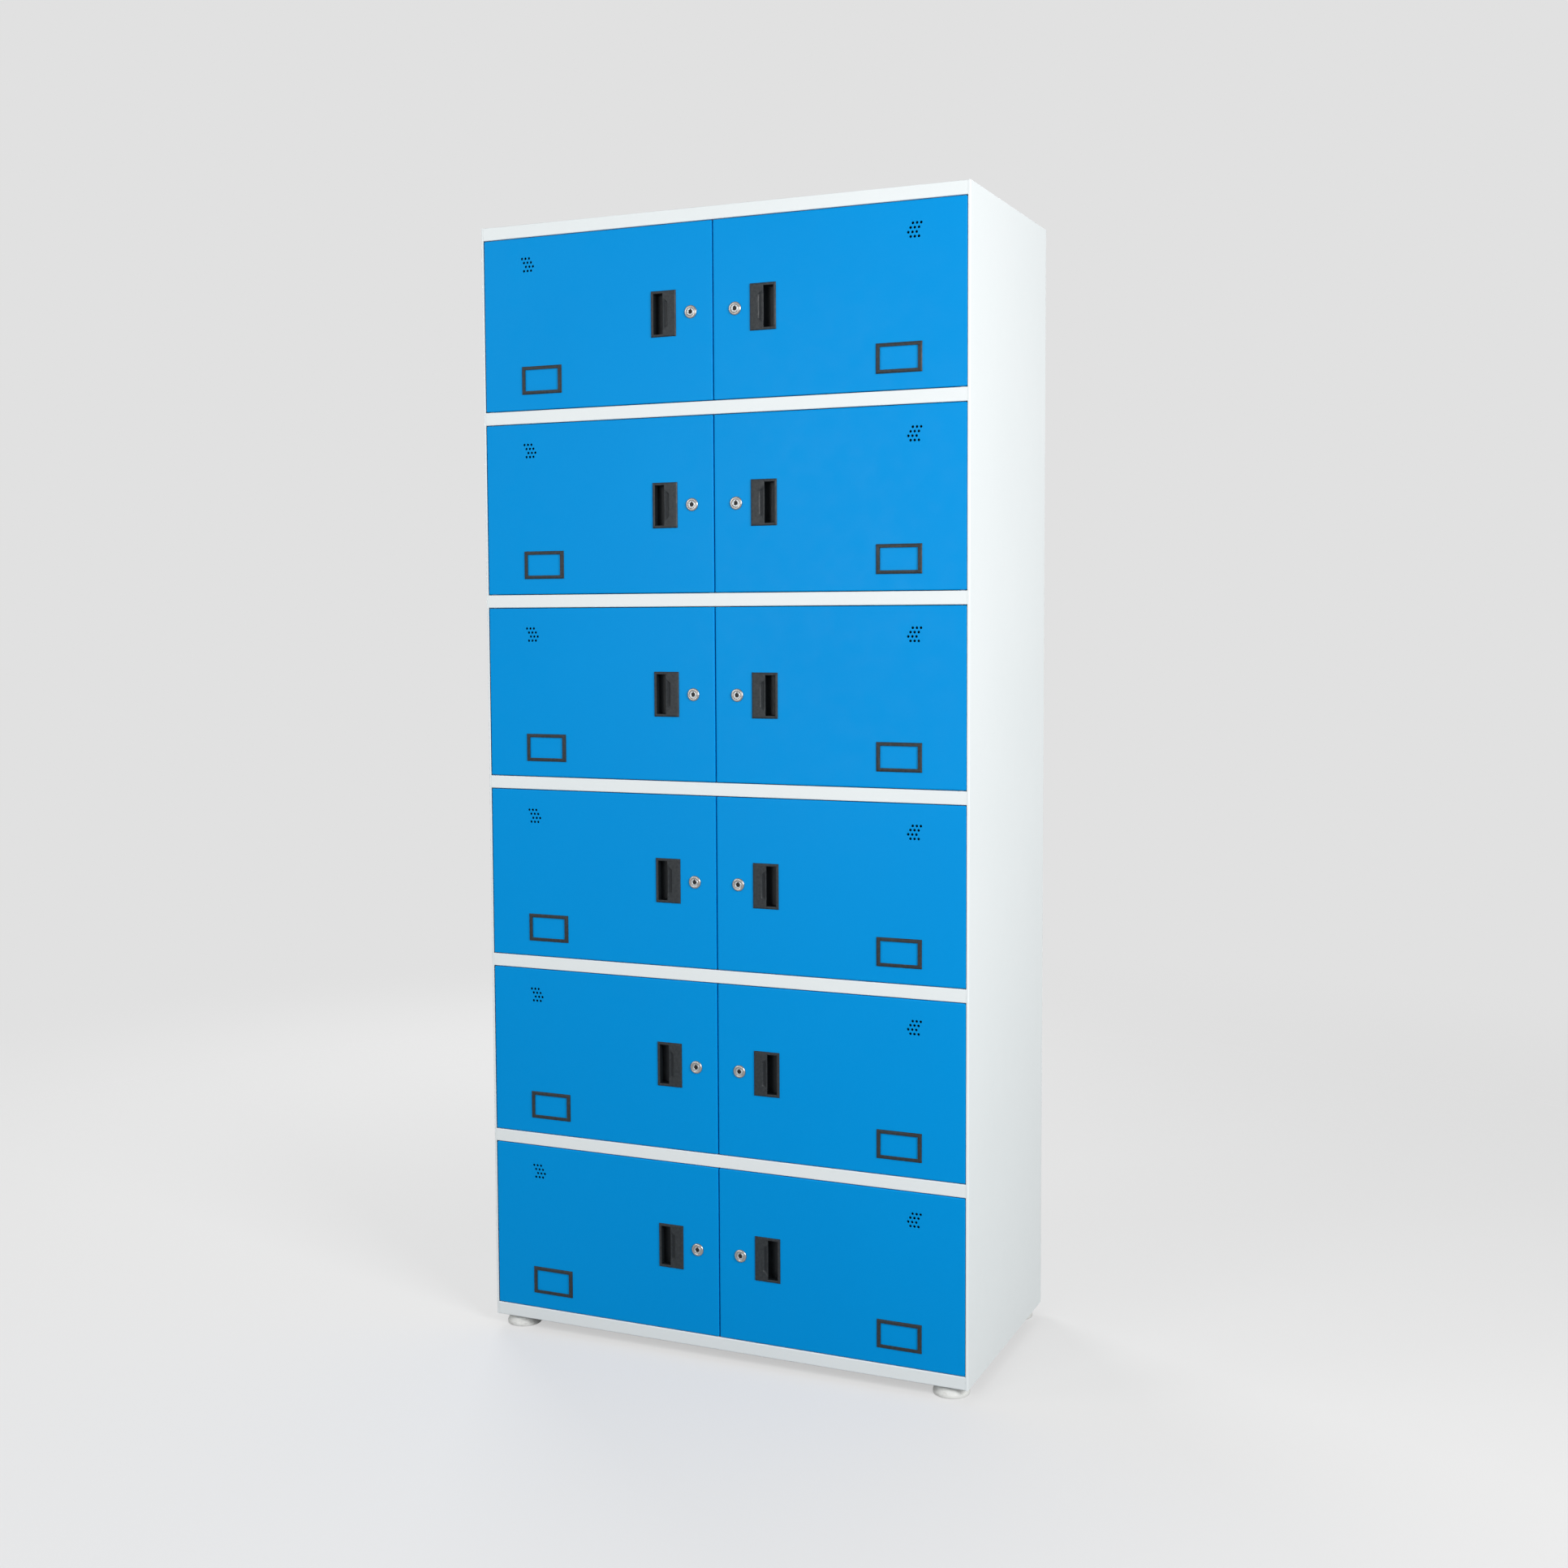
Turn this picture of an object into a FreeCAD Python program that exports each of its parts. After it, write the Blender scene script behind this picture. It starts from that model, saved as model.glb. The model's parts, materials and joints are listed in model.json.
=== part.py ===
import FreeCAD, Part
import math
import os

# Steel storage locker: two columns of six inset doors between full-width rails.
# The doors of a column turn on one hidden rod. Each has a flush pull, a cam lock, a card frame and vents.
# Millimetres. X runs to the right, Y from the front to the back, Z up. The floor is at Z = 0.
# The origin is the middle of the footprint, fittings that stand proud of the front included.

# Carcass
body_width = 900.0
body_depth = 450.0
body_height = 1960.0
tier_count = 6
sheet = 0.9
back_sheet = 0.8
bend_radius = 1.6
bend_limit_share = 2.5
side_lip = 4.2
side_rear_flange = 20.0
side_bottom_flange = 25.0
rail_height = 22.5
rail_lip_depth = 22.0
tray_flange = 15.0
seam_gap = 0.2
strike_clear = 11.5
strike_sheet = 1.5
strike_gap = 0.5

# Doors
door_gap = 1.2
centre_gap = 2.2
door_depth = 18.0
door_flange = 10.0
door_bend = 1.2
door_bend_limit_share = 1.5

# Hinge rods
pivot_inset = 9.0
pivot_setback = 7.0
rod_diameter = 6.0
rod_end_gap = 1.6
rod_hole_sides = 6
washer_width = 10.0
running_gap = 0.05

# Vent holes
vent_diameter = 4.3
vent_pitch = 7.0
vent_row_pitch = 7.1
vent_row_shift = 3.85
vent_columns = 3
vent_sides = 6
vent_from_hinge_edge = 83.9
vent_from_top_edge = 35.7
vent_shift_steps = (0, 1, 2, 1)

# Flush pull
pull_width = 47.0
pull_height = 77.5
pull_from_centre = 92.0
pull_proud = 2.2
pull_bevel = 1.6
pull_border = 3.0
pull_depth = 16.5
pull_wall = 1.5
pull_fit = 0.15
pull_mouth = 18.4
pull_cover = 3.0
scoop_depth = 9.0
scoop_slope = 9.5
scoop_margin = 7.5
scoop_fall = 2.4
scoop_trough_share = 0.5
scoop_lip_share = 0.5

# Card frame
card_width = 79.0
card_height = 48.5
card_border_x = 6.75
card_border_z = 5.9
card_proud = 2.4
card_bevel = 1.7
card_slot = 0.8
card_slot_ledge = 2.4
card_from_hinge_edge = 114.1
card_from_bottom_edge = 26.9

# Cam lock
lock_from_centre = 41.0
lock_bezel_diameter = 22.5
lock_proud = 2.6
lock_bevel = 2.0
lock_barrel_diameter = 19.0
lock_barrel_flats = 16.0
lock_barrel_length = 20.5
lock_fit = 0.1
lock_sides = 10
plug_diameter = 14.0
plug_sunk = 0.5
plug_tail = 1.0
key_hole_diameter = 7.8
key_hole_depth = 6.0
key_hole_sides = 8
clip_width = 27.0
clip_height = 24.0
clip_sheet = 1.2
cam_tip_gap = 5.0
cam_width = 14.0
cam_sheet = 2.5
cam_corner = 4.0
cam_screw_width = 8.0
cam_screw_height = 3.0

# Levelling feet
foot_height = 20.0
foot_diameter = 62.0
foot_top_diameter = 52.0
foot_pad_height = 16.0
foot_rim = 5.0
foot_sides = 20
foot_collar_width = 17.0
foot_clear_x = 4.2
foot_clear_y = 1.2
stud_diameter = 10.0
stud_sides = 8
stud_end_gap = 1.6
bracket_sheet = 2.5
bracket_margin = 30.0
nut_width = 17.0
nut_height = 8.0

# One overrun serves every cut
overrun = 1.0

# Places worked out from the sizes above
front_proud = max(lock_proud, pull_proud, card_proud)
front = (front_proud - body_depth) / 2
back = front + body_depth
base = foot_height
top = base + body_height
side_outer = body_width / 2
side_inner = side_outer - sheet
lip_edge = side_outer - side_lip
rail_end = lip_edge - seam_gap
back_inner = back - sheet - back_sheet
opening = (body_height - (tier_count + 1) * rail_height) / tier_count
tier_pitch = opening + rail_height
hinge_edge = lip_edge - door_gap
free_edge = centre_gap / 2
door_height = opening - 2 * door_gap
door_width = hinge_edge - free_edge
pivot_x = hinge_edge - pivot_inset
pivot_y = front + pivot_setback
bracket_seat = base + sheet
bracket_top = bracket_seat + bracket_sheet
rod_span = (bracket_top, top - sheet - rod_end_gap)
fold = min(bend_radius, bend_limit_share * sheet)
door_fold = min(door_bend, door_bend_limit_share * sheet)
strike_width = 2 * (lock_from_centre - lock_barrel_diameter / 2 - strike_clear)
strike_front = front + door_depth + strike_gap
strike_back = strike_front + strike_sheet
collar_corner = foot_collar_width / 2 / math.cos(math.pi / 6)
foot_x = side_outer - side_bottom_flange - foot_clear_x - collar_corner
foot_front_y = front + rail_lip_depth + foot_clear_y + collar_corner
foot_rear_y = front + back - foot_front_y
plug_back = front + lock_barrel_length + plug_tail
cam_length = lock_from_centre - cam_tip_gap

x_axis = FreeCAD.Vector(1, 0, 0)
y_axis = FreeCAD.Vector(0, 1, 0)
z_axis = FreeCAD.Vector(0, 0, 1)
origin = FreeCAD.Vector(0, 0, 0)


# Shape helpers

def in_plan(u, v):
    return FreeCAD.Vector(u, v, 0)


def in_section(u, v):
    return FreeCAD.Vector(0, u, v)


def in_elevation(u, v):
    return FreeCAD.Vector(u, 0, v)


def block(x_span, y_span, z_span):
    """Box between two values on each axis."""
    spans = [sorted(span) for span in (x_span, y_span, z_span)]
    sizes = [span[1] - span[0] for span in spans]
    return Part.makeBox(*sizes, FreeCAD.Vector(*[span[0] for span in spans]))


def outline(points, place):
    """Closed face through 2-D points; a third number rounds that corner."""
    count = len(points)
    flat = [place(p[0], p[1]) for p in points]
    starts, ends, edges = [], [], []
    for i, point in enumerate(points):
        radius = point[2] if len(point) > 2 else 0
        to_last = (flat[i - 1] - flat[i]).normalize()
        to_next = (flat[(i + 1) % count] - flat[i]).normalize()
        half_turn = to_last.getAngle(to_next) / 2
        reach = radius / math.tan(half_turn)
        starts.append(flat[i] + to_last * reach)
        ends.append(flat[i] + to_next * reach)
        if radius:
            towards = (to_last + to_next).normalize()
            middle = flat[i] + towards * (radius / math.sin(half_turn) - radius)
            edges.append(Part.Arc(starts[i], middle, ends[i]).toShape())
    for i in range(count):
        edges.append(Part.LineSegment(ends[i], starts[(i + 1) % count]).toShape())
    return Part.Face(Part.Wire(Part.__sortEdges__(edges)))


def plan_prism(points, z_span):
    face = outline(points, in_plan)
    face.translate(z_axis * z_span[0])
    return face.extrude(z_axis * (z_span[1] - z_span[0]))


def section_prism(points, x_span):
    face = outline(points, in_section)
    face.translate(x_axis * x_span[0])
    return face.extrude(x_axis * (x_span[1] - x_span[0]))


def elevation_prism(points, y_span):
    face = outline(points, in_elevation)
    face.translate(y_axis * y_span[0])
    return face.extrude(y_axis * (y_span[1] - y_span[0]))


def around(across_flats, sides, u, v):
    """Corners of a regular polygon whose sides touch a circle of this diameter."""
    angles = [math.pi * (2 * i + 1) / sides for i in range(sides)]
    radius = across_flats / 2 / math.cos(math.pi / sides)
    return [(u + radius * math.cos(a), v + radius * math.sin(a)) for a in angles]


def hexagon(across_flats, u, v):
    return around(across_flats, 6, u, v)


def within(diameter, sides):
    """Width across the flats of a regular polygon whose corners lie on a circle."""
    return diameter * math.cos(math.pi / sides)


def tapered(low, high, z_span):
    """Solid with flat sides between two outlines of as many corners."""
    lows = [FreeCAD.Vector(u, v, z_span[0]) for u, v in low]
    highs = [FreeCAD.Vector(u, v, z_span[1]) for u, v in high]
    rings = [lows, highs]
    for i in range(len(low)):
        rings.append([lows[i - 1], lows[i], highs[i], highs[i - 1]])
    faces = [Part.Face(Part.makePolygon(ring + ring[:1])) for ring in rings]
    return Part.makeSolid(Part.makeShell(faces))


def upright(diameter, x, y, z_span):
    """Cylinder along Z."""
    foot = FreeCAD.Vector(x, y, z_span[0])
    return Part.makeCylinder(diameter / 2, z_span[1] - z_span[0], foot, z_axis)


def join(shapes):
    whole = shapes[0].multiFuse(shapes[1:]) if len(shapes) > 1 else shapes[0]
    return whole.removeSplitter()


def mirrored(shape):
    return shape.mirror(origin, x_axis)


def front_edges(shape, y):
    """Edges that lie in the plane at this depth."""
    inside = [e for e in shape.Edges if abs(e.BoundBox.YMin - y) + abs(e.BoundBox.YMax - y) < sheet]
    return [e for e in inside if e.BoundBox.YLength < sheet / 2]


# Carcass

def side_panel():
    """Right side: wall with a narrow front lip, a rear flange and a foot flange."""
    profile = [
        (lip_edge, front),
        (side_outer, front, fold),
        (side_outer, back, fold),
        (side_outer - side_rear_flange, back),
        (side_outer - side_rear_flange, back - sheet),
        (side_inner, back - sheet),
        (side_inner, front + sheet),
        (lip_edge, front + sheet),
    ]
    wall = plan_prism(profile, (base, top))
    foot_flange = block(
        (side_outer - side_bottom_flange, side_inner),
        (front + rail_lip_depth, back_inner),
        (base, base + sheet),
    )
    return join([wall, foot_flange])


def back_panel():
    return block((-side_inner, side_inner), (back_inner, back - sheet), (base, top))


def tray(level_z):
    """Shelf with its rail: lip, fascia, plate, rear flange and side flanges, plate top at level_z."""
    rail_bottom = level_z - rail_height
    rail = section_prism(
        [
            (front + rail_lip_depth, rail_bottom),
            (front, rail_bottom, fold),
            (front, level_z, fold),
            (back_inner, level_z),
            (back_inner, level_z - tray_flange),
            (back_inner - sheet, level_z - tray_flange),
            (back_inner - sheet, level_z - sheet),
            (front + sheet, level_z - sheet),
            (front + sheet, rail_bottom + sheet),
            (front + rail_lip_depth, rail_bottom + sheet),
        ],
        (-rail_end, rail_end),
    )
    flange = elevation_prism(
        [
            (rail_end, level_z),
            (side_inner, level_z),
            (side_inner, level_z - tray_flange),
            (side_inner - sheet, level_z - tray_flange),
            (side_inner - sheet, level_z - sheet),
            (rail_end, level_z - sheet),
        ],
        (front + sheet, back_inner),
    )
    return join([rail, flange, mirrored(flange)])


def rod_hole(z_span):
    """Clearance round the right-hand hinge rod."""
    corners = around(rod_diameter + 2 * running_gap, rod_hole_sides, pivot_x, pivot_y)
    return plan_prism(corners, z_span)


def pierced_tray(level_z):
    """Tray with holes where the hinge rods pass through its plate and lip."""
    hole = rod_hole(rod_span)
    return tray(level_z).cut([hole, mirrored(hole)])


def partition(floor_z):
    """Upright divider behind the centre seam, notched round the rail lip above it."""
    lip_back = front + rail_lip_depth
    ceiling = floor_z + tier_pitch - sheet
    sill = floor_z + opening
    web = section_prism(
        [
            (strike_back, floor_z),
            (back_inner - sheet, floor_z),
            (back_inner - sheet, ceiling),
            (lip_back + seam_gap, ceiling),
            (lip_back + seam_gap, sill),
            (strike_back, sill),
        ],
        (-sheet / 2, sheet / 2),
    )
    strike = block(
        (-strike_width / 2, strike_width / 2),
        (strike_front, strike_back),
        (floor_z, sill),
    )
    return [web, strike]


def hinge_rod():
    """Rod that stands on a front foot bracket and ends under the roof."""
    return upright(rod_diameter, pivot_x, pivot_y, rod_span)


def hinge_washer(floor_z):
    """Hexagon washer on the shelf that carries the door above it."""
    z_span = (floor_z, floor_z + door_gap)
    return plan_prism(hexagon(washer_width, pivot_x, pivot_y), z_span).cut(rod_hole(z_span))


# Feet

def foot_bracket(y, y_edge):
    """Corner plate on the bottom flanges with a weld nut for the foot's stud."""
    y_reach = y + math.copysign(bracket_margin, y - y_edge)
    plate = block((foot_x - bracket_margin, side_inner), (y_edge, y_reach), (bracket_seat, bracket_top))
    nut = plan_prism(hexagon(nut_width, foot_x, y), (bracket_top, bracket_top + nut_height))
    bore = plan_prism(
        around(stud_diameter + 2 * running_gap, stud_sides, foot_x, y),
        (bracket_seat - overrun, bracket_top + nut_height + overrun),
    )
    return join([plate, nut]).cut(bore)


def foot(y):
    """Rimmed round pad with a hexagon collar and a stud, screwed in until the collar meets the bracket."""
    sole = around(foot_diameter, foot_sides, foot_x, y)
    crown = around(foot_top_diameter, foot_sides, foot_x, y)
    rim = plan_prism(sole, (0, foot_rim))
    pad = tapered(sole, crown, (foot_rim, foot_pad_height))
    collar = plan_prism(hexagon(foot_collar_width, foot_x, y), (foot_pad_height, bracket_seat))
    stud_top = base + rail_height - sheet - stud_end_gap
    stud = plan_prism(around(stud_diameter, stud_sides, foot_x, y), (bracket_seat, stud_top))
    return join([rim, pad, collar, stud])


# Doors, drawn for the right column with the lower edge at Z = 0

door_middle = door_height / 2


def vent_holes():
    holes = []
    for row, steps in enumerate(vent_shift_steps):
        z = door_height - vent_from_top_edge - row * vent_row_pitch
        middle = hinge_edge - vent_from_hinge_edge - steps * vent_row_shift
        for column in range(vent_columns):
            x = middle + (column - (vent_columns - 1) / 2) * vent_pitch
            corners = around(vent_diameter, vent_sides, x, z)
            holes.append(elevation_prism(corners, (front - overrun, front + sheet + overrun)))
    return holes


def flatted_barrel(spare, y_span):
    """Round barrel with two flats, larger all round by the given fit."""
    diameter = lock_barrel_diameter + 2 * spare
    half_flat = lock_barrel_flats / 2 + spare
    rod = elevation_prism(around(diameter, lock_sides, lock_from_centre, door_middle), y_span)
    keep = block(
        (lock_from_centre - diameter, lock_from_centre + diameter),
        y_span,
        (door_middle - half_flat, door_middle + half_flat),
    )
    return rod.common(keep)


def pull_opening(spare):
    """Span of the pull's bucket on X and Z, widened by the given fit."""
    half_x = pull_width / 2 - pull_border + spare
    half_z = pull_height / 2 - pull_border + spare
    x_span = (pull_from_centre - half_x, pull_from_centre + half_x)
    return x_span, (door_middle - half_z, door_middle + half_z)


def door_panel():
    """Folded pan: front sheet, four returns and an inner flange, with its punched openings."""
    shell = block((free_edge, hinge_edge), (front, front + door_depth), (0, door_height))
    shell = shell.makeChamfer(door_fold, front_edges(shell, front))
    hollow = block(
        (free_edge + sheet, hinge_edge - sheet),
        (front + sheet, front + door_depth - sheet),
        (sheet, door_height - sheet),
    )
    mouth = block(
        (free_edge + door_flange, hinge_edge - door_flange),
        (front + door_depth - sheet - overrun, front + door_depth + overrun),
        (door_flange, door_height - door_flange),
    )
    pull_x, pull_z = pull_opening(pull_fit)
    pull_hole = block(pull_x, (front - overrun, front + sheet + overrun), pull_z)
    lock_hole = flatted_barrel(lock_fit, (front - overrun, front + sheet + overrun))
    pivots = rod_hole((-overrun, door_height + overrun))
    return shell.cut([hollow, mouth, pull_hole, lock_hole, pivots] + vent_holes())


def flush_pull():
    """Moulded pull: bevelled bezel, open bucket, and a cover with a finger trough and a lip."""
    face = front - pull_proud
    x_span, z_span = pull_opening(0)
    half_x = pull_width / 2
    half_z = pull_height / 2
    bezel = block(
        (pull_from_centre - half_x, pull_from_centre + half_x),
        (face, front),
        (door_middle - half_z, door_middle + half_z),
    )
    bezel = bezel.makeChamfer(pull_bevel, front_edges(bezel, face))
    bucket = block(x_span, (front, front + pull_depth), z_span)
    inner_x = (x_span[0] + pull_wall, x_span[1] - pull_wall)
    inner_z = (z_span[0] + pull_wall, z_span[1] - pull_wall)
    hollow = block(inner_x, (face + pull_cover, front + pull_depth - pull_wall), inner_z)
    cover_edge = inner_x[1] - pull_mouth
    mouth = block((cover_edge, inner_x[1]), (face - overrun, face + pull_cover + overrun), inner_z)
    scoop_end = pull_height / 2 - pull_border - scoop_margin
    scoop_floor = scoop_end - scoop_slope
    scoop_outline = elevation_prism(
        [
            (cover_edge + overrun, door_middle - scoop_end),
            (cover_edge + overrun, door_middle + scoop_end),
            (cover_edge, door_middle + scoop_end),
            (cover_edge - scoop_depth, door_middle + scoop_floor),
            (cover_edge - scoop_depth, door_middle - scoop_floor),
            (cover_edge, door_middle - scoop_end),
        ],
        (face - overrun, face + pull_cover),
    )
    lip = face + scoop_fall * scoop_lip_share
    trough = plan_prism(
        [
            (cover_edge - scoop_depth, face - overrun),
            (cover_edge - scoop_depth, face),
            (cover_edge - scoop_depth * scoop_trough_share, face + scoop_fall),
            (cover_edge, lip),
            (cover_edge + overrun, lip),
            (cover_edge + overrun, face - overrun),
        ],
        z_span,
    )
    return join([bezel, bucket]).cut([hollow, mouth, scoop_outline.common(trough)])


def card_frame():
    """Bevelled frame on the door with a pocket behind it, open at the hinge end, for a name card."""
    x0 = hinge_edge - card_from_hinge_edge - card_width / 2
    x1 = x0 + card_width
    z0 = card_from_bottom_edge
    z1 = z0 + card_height
    face = front - card_proud
    frame = block((x0, x1), (face, front), (z0, z1))
    frame = frame.makeChamfer(card_bevel, front_edges(frame, face))
    window = block(
        (x0 + card_border_x, x1 - card_border_x),
        (face - overrun, front + overrun),
        (z0 + card_border_z, z1 - card_border_z),
    )
    pocket = block(
        (x0 + card_border_x - card_slot_ledge, x1 + overrun),
        (front - card_slot, front + overrun),
        (z0 + card_border_z - card_slot_ledge, z1 - card_border_z + card_slot_ledge),
    )
    return frame.cut([window, pocket])


def lock_housing():
    """Bevelled bezel and flatted barrel with a bore for the plug."""
    face = front - lock_proud
    rim = around(lock_bezel_diameter, lock_sides, lock_from_centre, door_middle)
    bezel = elevation_prism(rim, (face, front))
    bezel = bezel.makeChamfer(lock_bevel, front_edges(bezel, face))
    bore = elevation_prism(
        around(plug_diameter + 2 * running_gap, lock_sides, lock_from_centre, door_middle),
        (face - overrun, front + lock_barrel_length + overrun),
    )
    barrel = flatted_barrel(0, (front, front + lock_barrel_length))
    return join([bezel, barrel]).cut(bore)


def lock_clip():
    """Spring clip pushed over the barrel flats from the free edge, behind the door sheet."""
    half_flat = lock_barrel_flats / 2 + running_gap
    half_width = clip_width / 2
    half_height = clip_height / 2
    plate = block(
        (lock_from_centre - half_width, lock_from_centre + half_width),
        (front + sheet, front + sheet + clip_sheet),
        (door_middle - half_height, door_middle + half_height),
    )
    slot = block(
        (lock_from_centre - half_width - overrun, lock_from_centre + lock_barrel_diameter / 2 + running_gap),
        (front, front + door_depth),
        (door_middle - half_flat, door_middle + half_flat),
    )
    return plate.cut(slot)


def lock_plug():
    """Plug that turns in the housing, its corners within the round of the bore."""
    face = front - lock_proud + plug_sunk
    rim = around(within(plug_diameter, lock_sides), lock_sides, lock_from_centre, door_middle)
    corners = around(key_hole_diameter, key_hole_sides, lock_from_centre, door_middle)
    body = elevation_prism(rim, (face, plug_back))
    return body.cut(elevation_prism(corners, (face - overrun, face + key_hole_depth)))


def lock_cam():
    """Tongue that hangs down when unlocked and swings behind the strike."""
    half = cam_width / 2
    return elevation_prism(
        [
            (lock_from_centre - half + cam_corner, door_middle + half),
            (lock_from_centre + half - cam_corner, door_middle + half),
            (lock_from_centre + half, door_middle + half - cam_corner),
            (lock_from_centre + half, door_middle - cam_length + cam_corner),
            (lock_from_centre + half - cam_corner, door_middle - cam_length),
            (lock_from_centre - half + cam_corner, door_middle - cam_length),
            (lock_from_centre - half, door_middle - cam_length + cam_corner),
            (lock_from_centre - half, door_middle + half - cam_corner),
        ],
        (plug_back, plug_back + cam_sheet),
    )


def cam_screw():
    seat = plug_back + cam_sheet
    corners = hexagon(cam_screw_width, lock_from_centre, door_middle)
    return elevation_prism(corners, (seat, seat + cam_screw_height))


def door_set():
    """Node name stem to the solids of one right-hand door."""
    return {
        "door_panel": [door_panel()],
        "pull_and_card_frame": [flush_pull(), card_frame()],
        "lock_body": [lock_housing(), lock_clip()],
        "lock_plug_and_cam": [lock_plug(), lock_cam(), cam_screw()],
    }


# Assembly

def floor_of(tier):
    """Top of the tray under a tier; tier 1 is the highest."""
    return base + rail_height + (tier_count - tier) * tier_pitch


def build():
    tiers = range(1, tier_count + 1)
    right_side = side_panel()
    brackets = [foot_bracket(foot_front_y, front + sheet), foot_bracket(foot_rear_y, back_inner)]
    feet = {"front": foot(foot_front_y), "rear": foot(foot_rear_y)}
    hinges = [hinge_rod()] + [hinge_washer(floor_of(tier)) for tier in tiers]
    dividers = [piece for tier in tiers for piece in partition(floor_of(tier))]
    nodes = {
        "right_side_panel": [right_side],
        "left_side_panel": [mirrored(right_side)],
        "back_panel": [back_panel()],
        "top_panel": [pierced_tray(top)],
        "shelves_and_floor": [pierced_tray(floor_of(tier)) for tier in tiers],
        "centre_partitions": dividers,
        "hinge_rods_and_washers": hinges + [mirrored(piece) for piece in hinges],
        "foot_brackets": brackets + [mirrored(bracket) for bracket in brackets],
    }
    for place, shape in feet.items():
        nodes[f"foot_{place}_right"] = [shape]
        nodes[f"foot_{place}_left"] = [mirrored(shape)]
    right_door = door_set()
    for tier in tiers:
        lift = z_axis * (floor_of(tier) + door_gap)
        for stem, solids in right_door.items():
            raised = [solid.translated(lift) for solid in solids]
            nodes[f"{stem}_{tier}_right"] = raised
            nodes[f"{stem}_{tier}_left"] = [mirrored(solid) for solid in raised]
    return nodes


def write(nodes):
    os.makedirs("parts", exist_ok=True)
    for name, solids in nodes.items():
        shape = solids[0] if len(solids) == 1 else Part.makeCompound(solids)
        shape.exportStep(os.path.join("parts", name + ".step"))


write(build())
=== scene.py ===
import json
import math

import bmesh
import bpy
from mathutils import Matrix, Vector
from mathutils.geometry import tessellate_polygon


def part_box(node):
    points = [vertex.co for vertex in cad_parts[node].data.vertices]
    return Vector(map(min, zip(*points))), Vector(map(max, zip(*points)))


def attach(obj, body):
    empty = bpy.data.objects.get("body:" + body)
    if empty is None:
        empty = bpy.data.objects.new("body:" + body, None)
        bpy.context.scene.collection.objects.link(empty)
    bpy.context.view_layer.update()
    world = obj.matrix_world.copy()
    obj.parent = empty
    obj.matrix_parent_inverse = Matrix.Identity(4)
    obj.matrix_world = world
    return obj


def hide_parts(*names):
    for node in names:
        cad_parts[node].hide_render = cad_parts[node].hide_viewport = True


# Steel storage locker: the looks. Metres, in the frame of the solids.
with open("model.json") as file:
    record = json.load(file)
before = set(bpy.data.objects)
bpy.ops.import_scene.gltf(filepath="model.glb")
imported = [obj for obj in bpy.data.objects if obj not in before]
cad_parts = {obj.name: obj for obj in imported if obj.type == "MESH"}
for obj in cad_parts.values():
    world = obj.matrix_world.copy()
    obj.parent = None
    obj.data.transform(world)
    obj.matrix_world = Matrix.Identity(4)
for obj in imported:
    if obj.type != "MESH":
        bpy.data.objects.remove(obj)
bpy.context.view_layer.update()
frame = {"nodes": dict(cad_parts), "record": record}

tiers = range(1, 7)
sides = {"left": -1, "right": 1}

# Camera at the photograph's angle, with the image taken as 1932 pixels square
image_size = 1932
camera_place = (1.37483, -3.18069, 1.30130)
camera_yaw = math.radians(24.1205)
camera_pitch = math.radians(-3.9752)
camera_roll = math.radians(-0.3336)
focal_pixels = 2364.14
axis_pixel = (915.296, 918.774)
sensor_width = 36.0

# Light and stage
pale = 0.753
world_level = 0.36
floor_radius = 4.0
floor_rings = 8
floor_steps = 96
floor_fade_from = 1.2
floor_albedo = 0.3
floor_glow = 0.50

# Lamps: where they stand, the point they face, their width and height, their power
lamps = {
    "key_box": ((3.25, -2.05, 2.1), (0.15, -0.1, 1.05), (1.6, 1.6), 121),
    "sheen_box": ((-1.05, -3.7, 1.6), (0.1, -0.2, 1.35), (1.1, 1.8), 27),
    "fill_box": ((-3.2, -2.4, 2.8), (-0.2, -0.2, 1.5), (1.4, 1.4), 30),
    "rear_box": ((-2.5, 2.6, 2.3), (-0.1, 0.1, 1.0), (1.8, 1.8), 80),
}

# Door pan
sheet = 0.0009
door_fold = 0.0015
door_fold_steps = 5
door_corner = 0.0021
door_flange = 0.0100
door_flange_fold = 0.0011
door_flange_fold_steps = 3
door_flat_from = 0.0040
tight_corner = 0.0003
hole_edge = 0.00025

# Vent holes, from the hinge edge and the top edge of a door
vent_diameter = 0.0043
vent_pitch = 0.0070
vent_row_pitch = 0.0071
vent_row_shift = 0.00385
vent_columns = 3
vent_from_hinge_edge = 0.0839
vent_from_top_edge = 0.0357
vent_shift_steps = (0, 1, 2, 1)
vent_sides = 20

# Flush pull
pull_width = 0.0470
pull_height = 0.0775
pull_proud = 0.0022
pull_bevel = 0.0017
pull_border = 0.0030
pull_wall = 0.0015
pull_depth = 0.0165
pull_mouth = 0.0184
pull_cover = 0.0030
pull_opening_gap = 0.00015
mouth_chamfer = 0.0014
mouth_fall = 0.0009
scoop_depth = 0.0090
scoop_slope = 0.0095
scoop_margin = 0.0075
scoop_fall = 0.0022
scoop_steps = 8
scoop_straight_shares = (0.6, 0.2)
nose_round = 0.0004
under_step = 0.0002
floor_round = 0.0008

# Depths between which the wear of the plastic fades; deeper in, the plain dark base is painted shade in
# the recesses
face_wear_full_to = -0.0012
painted_shade_from = 0.0006

# Finger trough from the flat face to the mouth, as shares of its reach and of its fall
scoop_profile = (
    (0.05, 0.22),
    (0.16, 0.62),
    (0.30, 0.92),
    (0.44, 1.0),
    (0.58, 0.95),
    (0.72, 0.76),
    (0.84, 0.55),
    (0.93, 0.45),
    (1.0, 0.44),
)

# Bevel of the pull from its face to the door, as shares of its run and of its fall
pull_bevel_profile = ((0.12, 0.03), (0.25, 0.10), (0.88, 0.62), (1.0, 0.75), (1.0, 1.0))

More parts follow.
